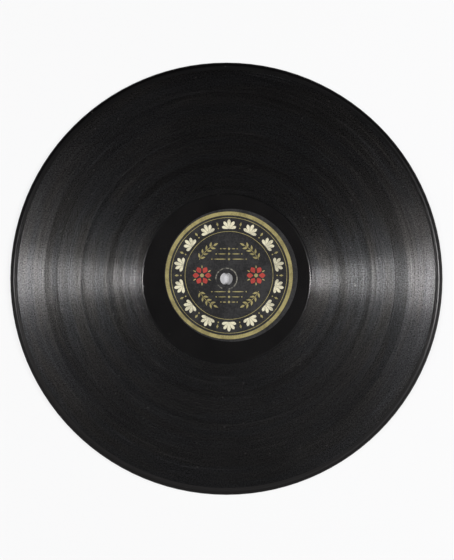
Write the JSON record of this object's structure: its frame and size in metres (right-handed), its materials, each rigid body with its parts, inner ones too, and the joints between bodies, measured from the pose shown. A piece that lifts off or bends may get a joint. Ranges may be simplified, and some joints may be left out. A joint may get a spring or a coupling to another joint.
{
  "type": "shellac record",
  "caption": "Flat round gramophone record: a laminated disc with a spindle hole, grooved shellac faces, a raised bead round the rim and a paper label pressed into each side.",
  "frame": {"origin": "on the spindle axis, in the plane of the back rim bead's crest that the record lies on", "axes": "+Z along the spindle axis, out of the front face; +Y towards the top of the front label; +X to its right"},
  "size_m": [0.25, 0.25, 0.0026],
  "materials": {
    "core_compound": "coarse mineral-filled shellac, sealed inside",
    "kraft_paper": "plain kraft, sealed inside",
    "shellac": "black, polished land and fine concentric grooves",
    "label_paper": "dark uncoated paper, printed in gold, cream and red"
  },
  "bodies": {
    "root": {"core": "core_compound", "front_paper_ply": "kraft_paper", "back_paper_ply": "kraft_paper", "front_face": "shellac", "back_face": "shellac", "front_label": "label_paper", "back_label": "label_paper"}
  },
  "joints": []
}
